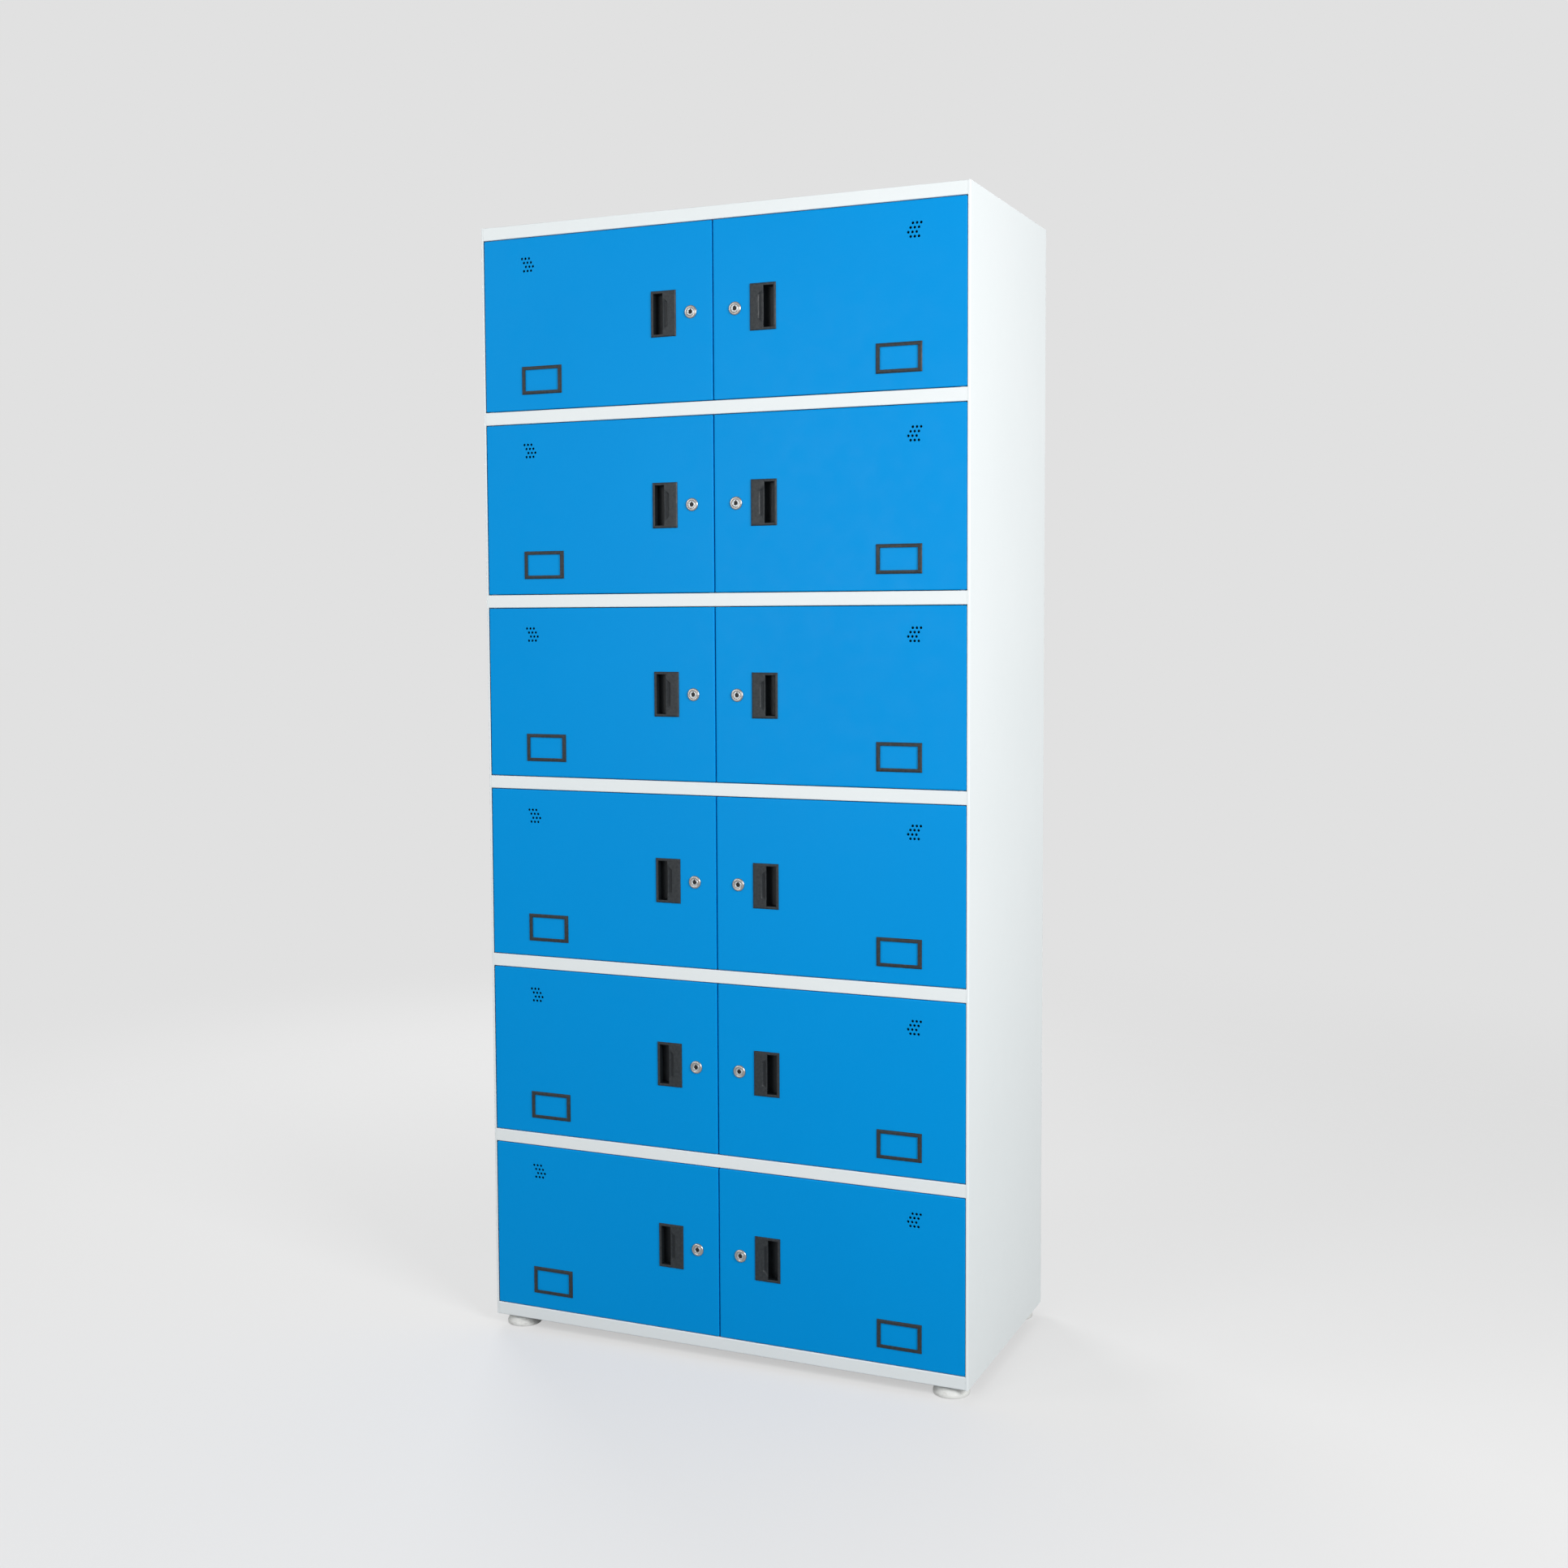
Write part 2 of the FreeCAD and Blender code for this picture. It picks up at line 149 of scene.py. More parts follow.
# Card frame
card_width = 0.0790
card_height = 0.0485
card_border = (0.00675, 0.0059)
card_slot = 0.0008
card_ledge = 0.0024

# Section of a card frame bar, as shares of its width and as depths
card_profile = (
    (0.0, 0.0),
    (0.0, -0.0009),
    (0.03, -0.0011),
    (0.30, -0.0022),
    (0.36, -0.00235),
    (0.44, -0.0024),
    (0.82, -0.0024),
    (0.92, -0.0023),
    (1.0, -0.0019),
    (1.0, -card_slot),
)

# Cam lock
lock_bezel_radius = 0.01125
lock_proud = 0.0026
lock_barrel_radius = 0.0095
lock_half_flat = 0.0080
lock_barrel_length = 0.0205
lock_bore_radius = 0.00705
thread_pitch = 0.0010
thread_depth = 0.00035
plug_radius = 0.0070
plug_sunk = 0.0005
key_hole_radius = 0.0036
key_hole_depth = 0.0050
key_notch_width = 0.0022
key_notch_top = 0.0049
key_post_radius = 0.0012
keyway_sunk = 0.0010
keyway_gap = 0.00005
clip_width = 0.0270
clip_height = 0.0240
clip_sheet = 0.0012
cam_width = 0.0140
cam_hub_steps = 12
cam_sheet = 0.0025
cam_screw_width = 0.0080
cam_screw_height = 0.0030
metal_edge = 0.0003

# Domed bezel of the lock, as shares of its radius and of how far it stands proud
lock_dome_profile = (
    (1.0, 0.0),
    (1.0, 0.22),
    (0.965, 0.5),
    (0.90, 0.78),
    (0.82, 0.95),
    (0.75, 1.0),
    (0.69, 0.95),
)

# Levelling feet
foot_radius = 0.0310
foot_collar_width = 0.0170
foot_pad_height = 0.0160
stud_radius = 0.0050
stud_sides = 24
stud_pitch = 1.5 * thread_pitch
stud_crest = thread_pitch / 3

# Pad of a foot from the middle of its sole to the middle of its top, as shares of its radius and height
foot_pad_profile = (
    (0.0, 0.0),
    (0.93, 0.0),
    (0.99, 0.04),
    (1.0, 0.1),
    (1.0, 0.30),
    (0.985, 0.37),
    (0.88, 0.78),
    (0.845, 0.9),
    (0.80, 0.975),
    (0.74, 1.0),
    (0.45, 1.0),
    (0.42, 0.985),
    (0.0, 0.985),
)

# Meshes and patterns
smooth_below = math.radians(32)
around_steps = 48
weld_distance = 1e-7
pattern_shift = 7.0
plating_dulled = 0.72


# Mesh helpers

class Surface:
    """Points and faces of one mesh, built from rings of points."""

    def __init__(self):
        self.points = []
        self.faces = []

    def ring(self, points):
        start = len(self.points)
        self.points += [tuple(p) for p in points]
        return list(range(start, len(self.points)))

    def skin(self, a, b):
        """Quads between two closed rings of as many points; a single point makes a fan."""
        count = max(len(a), len(b))
        for i in range(count):
            j = (i + 1) % count
            corners = [a[i % len(a)], a[j % len(a)], b[j % len(b)], b[i % len(b)]]
            self.faces.append(list(dict.fromkeys(corners)))

    def loft(self, rings):
        indices = [self.ring(points) for points in rings]
        for a, b in zip(indices, indices[1:]):
            self.skin(a, b)
        return indices

    def cap(self, ring):
        self.faces.append(list(ring))

    def fill(self, outer, holes):
        """Flat triangles between an outer ring and the rings of its holes."""
        order = [i for ring in [outer] + holes for i in ring]
        lines = [[Vector(self.points[i]) for i in ring] for ring in [outer] + holes]
        self.faces += [[order[i] for i in triangle] for triangle in tessellate_polygon(lines)]

    def add(self, other):
        start = len(self.points)
        self.points += other.points
        self.faces += [[start + i for i in face] for face in other.faces]
        return self

    def mesh(self, name, flip_x=False, bevel=0.0):
        sign = -1 if flip_x else 1
        data = bpy.data.meshes.new(name)
        data.from_pydata([(sign * x, y, z) for x, y, z in self.points], [], self.faces)
        bm = bmesh.new()
        bm.from_mesh(data)
        bmesh.ops.remove_doubles(bm, verts=bm.verts, dist=weld_distance)
        bmesh.ops.recalc_face_normals(bm, faces=bm.faces)
        if bevel:
            edges = [e for e in bm.edges if e.is_manifold and e.calc_face_angle() > smooth_below]
            bmesh.ops.bevel(
                bm, geom=edges, offset=bevel, segments=2, profile=0.5, affect="EDGES", clamp_overlap=True
            )
        bm.to_mesh(data)
        bm.free()
        data.shade_smooth()
        data.set_sharp_from_angle(angle=smooth_below)
        return data


def place(name, mesh, location, body, material, node):
    """One piece on a body that stands for the given node."""
    piece = bpy.data.objects.new(name, mesh)
    bpy.context.scene.collection.objects.link(piece)
    piece.location = location
    if not mesh.materials:
        mesh.materials.append(material)
    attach(piece, body)
    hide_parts(node)


def rounded_rectangle(x0, x1, z0, z1, radius, steps=6):
    """Outline with rounded corners, always of as many points."""
    radius = max(radius, tight_corner)
    centres = [
        (x1 - radius, z1 - radius, 0),
        (x0 + radius, z1 - radius, 1),
        (x0 + radius, z0 + radius, 2),
        (x1 - radius, z0 + radius, 3),
    ]
    points = []
    for x, z, quarter in centres:
        for i in range(steps + 1):
            a = math.pi / 2 * (quarter + i / steps)
            points.append((x + radius * math.cos(a), z + radius * math.sin(a)))
    return points


def circle(radius, x=0.0, z=0.0, steps=around_steps, half_flat=None):
    """Round outline in the XZ plane, cut by two level flats if asked."""
    points = []
    for i in range(steps):
        a = 2 * math.pi * i / steps
        dz = radius * math.sin(a)
        if half_flat:
            dz = max(-half_flat, min(half_flat, dz))
        points.append((x + radius * math.cos(a), z + dz))
    return points


def at_depth(outline, y):
    return [(x, y, z) for x, z in outline]


def quarter_arc(radius, steps):
    """Steps round a quarter circle, from flat to upright, as (run, rise)."""
    turns = [math.pi / 2 * i / steps for i in range(steps + 1)]
    return [(radius * math.sin(t), radius * (1 - math.cos(t))) for t in turns]


def turned(profile, steps=around_steps, half_flat=None, flat_from=None):
    """Surface turned about the Y axis from (radius, depth) points; radius zero closes it."""
    surface = Surface()
    rings = []
    for radius, y in profile:
        if radius == 0:
            rings.append([(0.0, y, 0.0)])
        else:
            flat = half_flat if half_flat and y > flat_from else None
            rings.append(at_depth(circle(radius, steps=steps, half_flat=flat), y))
    surface.loft(rings)
    return surface


def closed_turned(profile, **options):
    """Turned ring whose profile runs back to its first point."""
    return turned(list(profile) + [profile[0]], **options)


def prism(outline, y0, y1):
    surface = Surface()
    front, back = surface.loft([at_depth(outline, y0), at_depth(outline, y1)])
    surface.cap(front)
    surface.cap(back)
    return surface


def hexagon(across_flats):
    radius = across_flats / 2 / math.cos(math.pi / 6)
    return circle(radius, steps=6)


def standing(surface):
    """The same surface with its Y axis turned to point up."""
    surface.points = [(x, z, y) for x, y, z in surface.points]
    return surface


# Materials

class Finish:
    """Node material with one principled shader and a few procedural layers."""

    def __init__(self, name, base, roughness, metallic=0.0, specular=0.5):
        self.material = bpy.data.materials.new(name)
        self.material.use_nodes = True
        self.tree = self.material.node_tree
        self.shader = self.tree.nodes["Principled BSDF"]
        self.base = base
        self.shader.inputs["Base Color"].default_value = (*base, 1)
        self.shader.inputs["Roughness"].default_value = roughness
        self.shader.inputs["Metallic"].default_value = metallic
        self.shader.inputs["Specular IOR Level"].default_value = specular
        self.normal = None
        coordinates = self.node("ShaderNodeTexCoord")
        info = self.node("ShaderNodeObjectInfo")
        shift = self.node("ShaderNodeVectorMath", operation="ADD")
        spread = self.node("ShaderNodeVectorMath", operation="SCALE")
        spread.inputs["Scale"].default_value = pattern_shift
        self.link(info.outputs["Location"], spread.inputs[0])
        self.link(coordinates.outputs["Object"], shift.inputs[0])
        self.link(spread.outputs[0], shift.inputs[1])
        self.where = shift.outputs[0]
        self.point = coordinates.outputs["Object"]

    def node(self, kind, **settings):
        made = self.tree.nodes.new(kind)
        for key, value in settings.items():
            setattr(made, key, value)
        return made

    def link(self, source, target):
        self.tree.links.new(source, target)

    def noise(self, scale, detail=3.0, rough=0.5, stretch=None):
        texture = self.node("ShaderNodeTexNoise")
        texture.inputs["Scale"].default_value = scale
        texture.inputs["Detail"].default_value = detail
        texture.inputs["Roughness"].default_value = rough
        where = self.where
        if stretch:
            mapping = self.node("ShaderNodeMapping")
            mapping.inputs["Scale"].default_value = stretch
            self.link(where, mapping.inputs["Vector"])
            where = mapping.outputs["Vector"]
        self.link(where, texture.inputs["Vector"])
        return texture.outputs["Fac"]

    def ramp(self, source, low, high, at=(0.3, 0.7)):
        """Maps a 0 to 1 value onto another span."""
        span = self.node("ShaderNodeMapRange")
        span.inputs["From Min"].default_value = at[0]
        span.inputs["From Max"].default_value = at[1]
        span.inputs["To Min"].default_value = low
        span.inputs["To Max"].default_value = high
        self.link(source, span.inputs["Value"])
        return span.outputs["Result"]

    def faded(self, source, full_to, none_from):
        """The source scaled down to zero between two depths of the piece."""
        split = self.node("ShaderNodeSeparateXYZ")
        product = self.node("ShaderNodeMath", operation="MULTIPLY")
        self.link(self.point, split.inputs["Vector"])
        self.link(source, product.inputs[0])
        self.link(self.ramp(split.outputs["Y"], 1.0, 0.0, (full_to, none_from)), product.inputs[1])
        return product.outputs[0]

    def tint(self, source, colour, strength, at=(0.4, 0.75)):
        """Lays another colour over the base where the source is high."""
        mix = self.node("ShaderNodeMix", data_type="RGBA")
        into = self.shader.inputs["Base Color"]
        if into.is_linked:
            self.link(into.links[0].from_socket, mix.inputs["A"])
        else:
            mix.inputs["A"].default_value = (*self.base, 1)
        mix.inputs["B"].default_value = (*colour, 1)
        self.link(self.ramp(source, 0.0, strength, at), mix.inputs["Factor"])
        self.link(mix.outputs["Result"], into)

    def vary_roughness(self, source, low, high):
        self.link(self.ramp(source, low, high), self.shader.inputs["Roughness"])

    def bump(self, source, strength, distance):
        made = self.node("ShaderNodeBump")
        made.inputs["Strength"].default_value = strength
        made.inputs["Distance"].default_value = distance
        self.link(source, made.inputs["Height"])
        if self.normal:
            self.link(self.normal, made.inputs["Normal"])
        self.normal = made.outputs["Normal"]
        self.link(self.normal, self.shader.inputs["Normal"])


def powder_coat(name, base, roughness, shade, light, specular):
    """Baked paint on sheet steel: orange peel, a faint waviness and slow colour drift."""
    finish = Finish(name, base, roughness, specular=specular)
    finish.tint(finish.noise(scale=2.3, detail=2.0), shade, strength=0.5, at=(0.45, 0.8))
    finish.tint(finish.noise(scale=5.1, detail=3.0), light, strength=0.4, at=(0.5, 0.85))
    patches = finish.noise(scale=38.0, detail=4.0)
    finish.vary_roughness(patches, low=roughness - 0.05, high=roughness + 0.06)
    finish.bump(finish.noise(scale=3.2, detail=1.0), strength=0.12, distance=0.0012)
    finish.bump(finish.noise(scale=850.0, detail=2.0), strength=0.12, distance=0.00012)
    return finish.material


def moulded_plastic(name, base, worn):
    """Grained dark moulding, worn lighter in front of the door and left at its dark base behind it as
    painted shade in the recesses.
    """
    finish = Finish(name, base, roughness=0.42, specular=0.22)
    patches = finish.noise(scale=220.0, detail=5.0, rough=0.6)
    # Wear patches on the face, faded out with depth so that the bucket stays dark as painted shade
    wear_and_shade = finish.faded(patches, face_wear_full_to, painted_shade_from)
    finish.tint(wear_and_shade, worn, strength=0.9, at=(0.2, 0.8))
    finish.vary_roughness(finish.noise(scale=140.0, detail=4.0), low=0.33, high=0.52)
    finish.bump(finish.noise(scale=900.0, detail=3.0, rough=0.6), strength=0.35, distance=0.00015)
    return finish.material


def plated(name, base, low, high, scratch):
    """Bright plating with faint scratches."""
    finish = Finish(name, base, roughness=low, metallic=1.0)
    finish.vary_roughness(finish.noise(scale=400.0, detail=4.0, rough=0.6), low, high)
    dulled = tuple(plating_dulled * c for c in base)
    finish.tint(finish.noise(scale=120.0, detail=3.0), dulled, strength=0.5, at=(0.55, 0.8))
    scratches = finish.noise(scale=1500.0, detail=2.0, rough=0.5, stretch=(1.0, 1.0, 0.15))
    finish.bump(scratches, strength=scratch, distance=0.00004)
    return finish.material


def nylon(name, base, scuff):
    """Off-white moulding with grey scuffs."""
    finish = Finish(name, base, roughness=0.45, specular=0.4)
    patches = finish.noise(scale=90.0, detail=5.0, rough=0.65, stretch=(1.0, 1.0, 2.5))
    finish.tint(patches, scuff, strength=0.75, at=(0.52, 0.78))
    finish.vary_roughness(finish.noise(scale=70.0, detail=3.0), low=0.38, high=0.6)
    finish.bump(finish.noise(scale=500.0, detail=3.0), strength=0.2, distance=0.0002)
    return finish.material


white = powder_coat(
    "white_powder_coat",
    base=(0.80, 0.845, 0.855),
    roughness=0.48,
    shade=(0.76, 0.81, 0.82),
    light=(0.82, 0.86, 0.87),
    specular=0.28,
)
blue = powder_coat(
    "blue_powder_coat",
    base=(0.0, 0.288, 0.715),
    roughness=0.36,
    shade=(0.0, 0.275, 0.69),
    light=(0.0, 0.30, 0.73),
    specular=0.06,
)
black = moulded_plastic("black_plastic", base=(0.010, 0.013, 0.016), worn=(0.044, 0.050, 0.054))
# Near-black keyway, barely worn: painted shade in the key hole
key_hole_shade = moulded_plastic("keyway_painted_shade", base=(0.010, 0.012, 0.013), worn=(0.016, 0.018, 0.020))
chrome = plated("chrome", base=(0.40, 0.42, 0.43), low=0.36, high=0.50, scratch=0.2)
nickel = plated("worn_nickel", base=(0.36, 0.34, 0.32), low=0.22, high=0.42, scratch=0.35)
zinc = plated("zinc_steel", base=(0.58, 0.59, 0.61), low=0.32, high=0.48, scratch=0.3)
# Hinge rods and washers painted darker than their zinc, so that the gaps under the doors show painted
# shade instead of their glints
hinge_steel_painted_shade = plated("hinge_steel_painted_shade", base=(0.13, 0.13, 0.14), low=0.5, high=0.65, scratch=0.3)
off_white = nylon("white_nylon", base=(0.74, 0.75, 0.73), scuff=(0.42, 0.40, 0.37))
slot_materials = {
    "white_powder_coat": white,
    "blue_powder_coat": blue,
    "black_plastic": black,
    "chrome": chrome,
    "zinc_steel": zinc,
    "white_nylon": off_white,
}


# Door, drawn for the right column: X from the free edge, Y from the front sheet, Z from the lower edge

door_low, door_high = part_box("door_panel_1_right")
door_width, door_depth, door_height = door_high - door_low
pair_low, pair_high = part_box("pull_and_card_frame_1_right")
lock_low, lock_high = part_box("lock_body_1_right")
plug_low, plug_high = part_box("lock_plug_and_cam_1_right")
door_front = door_low.y
lock_x = (lock_low.x + lock_high.x) / 2 - door_low.x
lock_z = (lock_low.z + lock_high.z) / 2 - door_low.z
pull_x0 = pair_low.x - door_low.x
pull_z0 = pair_high.z - door_low.z - pull_height
card_x0 = pair_high.x - door_low.x - card_width
card_z0 = pair_low.z - door_low.z


def vent_places():
    """Centres of the vent holes on a door."""
    for row, steps in enumerate(vent_shift_steps):
        z = door_height - vent_from_top_edge - row * vent_row_pitch
        middle = door_width - vent_from_hinge_edge - steps * vent_row_shift
        for column in range(vent_columns):
            yield middle + (column - (vent_columns - 1) / 2) * vent_pitch, z


def door_panel():
    """Folded pan with round bends, returns, an inner flange and punched holes."""
    surface = Surface()
    bend = [(door_fold - run, rise) for run, rise in quarter_arc(door_fold, door_fold_steps)]
    back_arc = quarter_arc(door_flange_fold, door_flange_fold_steps)
    back_bend = [(rise, door_depth - door_flange_fold + run) for run, rise in back_arc]
    profile = (
        [(door_flat_from, 0)]
        + bend
        + back_bend
        + [
            (door_flange, door_depth),
            (door_flange, door_depth - sheet),
            (sheet, door_depth - sheet),
            (sheet, sheet),
            (door_flat_from, sheet),
        ]
    )
    rings = []
    for inset, depth in profile:
        outline = rounded_rectangle(
            inset, door_width - inset, inset, door_height - inset, door_corner - inset
        )
        rings.append(at_depth(outline, depth))
    loops = surface.loft(rings)

    pull_gap = pull_border - pull_opening_gap
    outlines = [
        lambda spread, x=x, z=z: circle(vent_diameter / 2 + spread, x, z, vent_sides)
        for x, z in vent_places()
    ]
    outlines.append(
        lambda spread: circle(
            lock_barrel_radius + spread, lock_x, lock_z, half_flat=lock_half_flat + spread
        )
    )
    outlines.append(
        lambda spread: rounded_rectangle(
            pull_x0 + pull_gap - spread,
            pull_x0 + pull_width - pull_gap + spread,
            pull_z0 + pull_gap - spread,
            pull_z0 + pull_height - pull_gap + spread,
            door_fold,
        )
    )
    front_holes, back_holes = [], []
    for outline in outlines:
        walls = surface.loft(
            [
                at_depth(outline(hole_edge), 0),
                at_depth(outline(0), hole_edge),
                at_depth(outline(0), sheet),
            ]
        )
        front_holes.append(walls[0])
        back_holes.append(walls[-1])
    surface.fill(loops[0], front_holes)
    surface.fill(loops[-1], back_holes)
    return surface


# Flush pull, drawn from its lower corner on the lock side, with Y zero on the door

def eased(t):
    """Smooth step from zero to one."""
    t = max(0.0, min(1.0, t))
    return t * t * (3 - 2 * t)


def flush_pull():
    """Bevelled bezel, cover with a scooped finger lip, open bucket with an undercut behind the cover."""
    surface = Surface()
    middle = pull_height / 2
    rim = pull_border + pull_wall
    mouth_x1 = pull_width - rim
    mouth_x0 = mouth_x1 - pull_mouth
    scoop_end = middle - pull_border - scoop_margin
    scoop_rows = [-scoop_end + scoop_slope * i / scoop_steps for i in range(scoop_steps + 1)]
    straight_rows = [(scoop_slope - scoop_end) * share for share in scoop_straight_shares]
    lower_rows = scoop_rows + straight_rows
    rows = lower_rows + [-z for z in reversed(lower_rows)]
    face_rows = [-middle + pull_bevel, -middle + rim - mouth_chamfer] + rows
    face_rows += [middle - rim + mouth_chamfer, middle - pull_bevel]

    grid = []
    for z in face_rows:
        share = eased((scoop_end - abs(z)) / scoop_slope)
        reach = max(scoop_depth * share, nose_round)
        start = mouth_x0 - reach
        line = [(pull_bevel, 0.0), (rim, 0.0), (start - nose_round, 0.0), (start, 0.0)]
        line += [(start + reach * t, scoop_fall * share * fall) for t, fall in scoop_profile]
        line += [(mouth_x1 + mouth_chamfer, 0.0), (pull_width - pull_bevel, 0.0)]
        grid.append(surface.ring([(x, fall - pull_proud, middle + z) for x, fall in line]))
    columns = len(grid[0])
    nose, right = columns - 3, columns - 2
    last = len(grid) - 1
    for j in range(last):
        for i in range(columns - 1):
            if i == nose and 0 < j < last - 1:
                continue
            surface.faces.append([grid[j][i], grid[j][i + 1], grid[j + 1][i + 1], grid[j + 1][i]])

    # Mouth: down the nose and the chamfer, under the cover, then to the floor of the bucket
    mouth_rows = range(1, last)
    loop = [grid[j][nose] for j in mouth_rows] + [grid[j][right] for j in reversed(mouth_rows)]
    low_z, high_z = rim, pull_height - rim

    def mouth_ring(nose_x, nose_fall, right_x, depth, inset=0.0):
        points = []
        for k, index in enumerate(loop):
            x, y, z = surface.points[index]
            z = max(low_z + inset, min(high_z - inset, z))
            if k < len(mouth_rows):
                points.append((nose_x + inset, depth if nose_fall is None else y + nose_fall, z))
            else:
                points.append((right_x - inset, depth, z))
        return surface.ring(points)

    cover_back = pull_cover - pull_proud
    bucket_floor = pull_depth - pull_wall
    loops = [
        loop,
        mouth_ring(mouth_x0 + nose_round, nose_round, mouth_x1, mouth_fall - pull_proud),
        mouth_ring(mouth_x0 + nose_round, None, mouth_x1, cover_back),
        mouth_ring(rim, None, mouth_x1, cover_back + under_step),
        mouth_ring(rim, None, mouth_x1, bucket_floor - floor_round),
        mouth_ring(rim, None, mouth_x1, bucket_floor, floor_round),
    ]
    for a, b in zip(loops, loops[1:]):
        surface.skin(a, b)
    surface.cap(loops[-1])

    # Outside: bevel down to the door, then the bucket behind it
    border = [grid[j][0] for j in range(last + 1)] + grid[last][1:-1]
    border += [grid[j][-1] for j in reversed(range(last + 1))] + grid[0][-2:0:-1]

    edge_zone = 1.01 * pull_bevel

    def outer_ring(spread, depth):
        points = []
        for index in border:
            x, _, z = surface.points[index]
            x += spread * ((x > pull_width - edge_zone) - (x < edge_zone))
            z += spread * ((z > pull_height - edge_zone) - (z < edge_zone))
            points.append((x, depth, z))
        return surface.ring(points)

    def bucket_ring(depth, inset=0.0):
        edge = pull_border + inset
        points = []
        for index in border:
            x, _, z = surface.points[index]
            x = max(edge, min(pull_width - edge, x))
            z = max(edge, min(pull_height - edge, z))
            points.append((x, depth, z))
        return surface.ring(points)

    outside = [border]
    for run, fall in pull_bevel_profile:
        outside.append(outer_ring(pull_bevel * run, pull_proud * (fall - 1)))
    outside.append(bucket_ring(0.0))
    outside.append(bucket_ring(pull_depth - floor_round))
    outside.append(bucket_ring(pull_depth, floor_round))
    for a, b in zip(outside, outside[1:]):
        surface.skin(a, b)
    surface.cap(outside[-1])
    return surface


# Card frame, drawn from its lower corner on the lock side, with Y zero on the door

def card_frame():
    """Mitred frame with a card pocket behind it, open at the hinge end."""
    surface = Surface()
    foot_shares = tuple(1 - card_ledge / border for border in card_border)
    pocket = card_border[1] - card_ledge
    edge = metal_edge / 2
    section = [((share, share), y) for share, y in card_profile]
    section += [(foot_shares, -card_slot), (foot_shares, 0.0)]
    rings = []
    for (share_x, share_z), y in section + section[:1]:
        dx = share_x * card_border[0]
        dz = share_z * card_border[1]
        raised = min(y, -card_slot)
        x1 = card_width - dx
        z1 = card_height - dz
        slot_low, slot_high = max(pocket, dz), min(card_height - pocket, z1)
        rings.append(
            [
                (dx, y, dz),
                (x1, y, dz),
                (x1, y, slot_low),
                (x1, raised, slot_low + edge),
                (x1, raised, slot_high - edge),
                (x1, y, slot_high),
                (x1, y, z1),
                (dx, y, z1),
            ]
        )
    surface.loft(rings)
    return surface


# Cam lock, drawn about its own axis with Y zero on the door

def lock_body():
    """Domed bezel, threaded barrel with two flats, and the spring clip behind the door sheet."""
    threads = []
    y = clip_sheet + 2 * sheet
    while y < lock_barrel_length - thread_pitch:
        threads += [(lock_barrel_radius - thread_depth, y), (lock_barrel_radius, y + thread_pitch / 2)]
        y += thread_pitch
    profile = [(lock_bezel_radius * run, -lock_proud * rise) for run, rise in lock_dome_profile]
    profile += [
        (lock_bore_radius, -lock_proud + plug_sunk),
        (lock_bore_radius, lock_barrel_length),
        (lock_barrel_radius - thread_depth, lock_barrel_length),
    ]
    profile += list(reversed(threads)) + [(lock_barrel_radius, 0.0)]
    barrel = closed_turned(profile, half_flat=lock_half_flat, flat_from=sheet)
    half_width, half_height = clip_width / 2, clip_height / 2
    clip = prism(
        [
            (-half_width, -half_height),
            (half_width, -half_height),
            (half_width, half_height),
            (-half_width, half_height),
            (-half_width, lock_half_flat),
            (lock_barrel_radius, lock_half_flat),
            (lock_barrel_radius, -lock_half_flat),
            (-half_width, -lock_half_flat),
        ],
        sheet,
        sheet + clip_sheet,
    )
    return barrel.add(clip)


def key_hole(spread):
    """Round outline with a notch at its top, larger all round by the given spread."""
    radius = key_hole_radius + spread
    half = key_notch_width / 2 + spread
    notch_top = key_notch_top + spread
    gap = math.asin(half / radius)
    turns = [math.pi / 2 + gap + 2 * (math.pi - gap) * i / around_steps for i in range(around_steps + 1)]
    outline = [(radius * math.cos(t), radius * math.sin(t)) for t in turns]
    return outline + [(half, notch_top), (-half, notch_top)]


plug_face = plug_low.y - door_front


def lock_plug():
    """Round plug with a notched key hole."""
    tail = plug_high.y - door_front - cam_sheet - cam_screw_height
    groove = metal_edge
    surface = turned(
        [
            (plug_radius - 4 * groove, plug_face),
            (plug_radius - 3 * groove, plug_face + groove),
            (plug_radius - groove, plug_face + groove / 2),
            (plug_radius, plug_face + 2 * groove),
            (plug_radius, tail),
            (0, tail),
        ]
    )
    rim = list(range(around_steps))
    bottom = plug_face + key_hole_depth
    hole = surface.loft(
        [
            at_depth(key_hole(groove), plug_face),
            at_depth(key_hole(0), plug_face + groove),
            at_depth(key_hole(0), bottom),
        ]
    )
    surface.fill(rim, [hole[0]])
    surface.fill(hole[-1], [])
    return surface


def keyway():
    """Pin carrier at the bottom of the key hole, with the post that the key fits round; its near-black
    colour is painted shade in the hole.
    """
    surface = Surface()
    front = plug_face + keyway_sunk
    back = plug_face + key_hole_depth - keyway_gap
    rings = surface.loft([at_depth(key_hole(-keyway_gap), y) for y in (front, back)])
    post = surface.loft(
        [
            at_depth(circle(key_post_radius), front),
            at_depth(circle(key_post_radius), plug_face + 2 * metal_edge),
            at_depth(circle(key_post_radius - metal_edge), plug_face + metal_edge),
        ]
    )
    surface.fill(rings[0], [post[0]])
    surface.fill(rings[1], [])
    surface.cap(post[-1])
    return surface


def lock_cam():
    """Cam with a round hub end, hanging down, and the hexagon screw that holds it."""
    back = plug_high.y - door_front
    tip = lock_z - (plug_low.z - door_low.z)
    half = cam_width / 2
    corner = half / 2
    turns = [math.pi * i / cam_hub_steps for i in range(cam_hub_steps + 1)]
    outline = [(half * math.cos(t), half * math.sin(t)) for t in turns]
    outline += [(-half, corner - tip), (corner - half, -tip)]
    outline += [(half - corner, -tip), (half, corner - tip)]
    cam = prism(outline, back - cam_screw_height - cam_sheet, back - cam_screw_height)
    return cam.add(prism(hexagon(cam_screw_width), back - cam_screw_height, back))


# Levelling foot, drawn about its own axis from the floor up

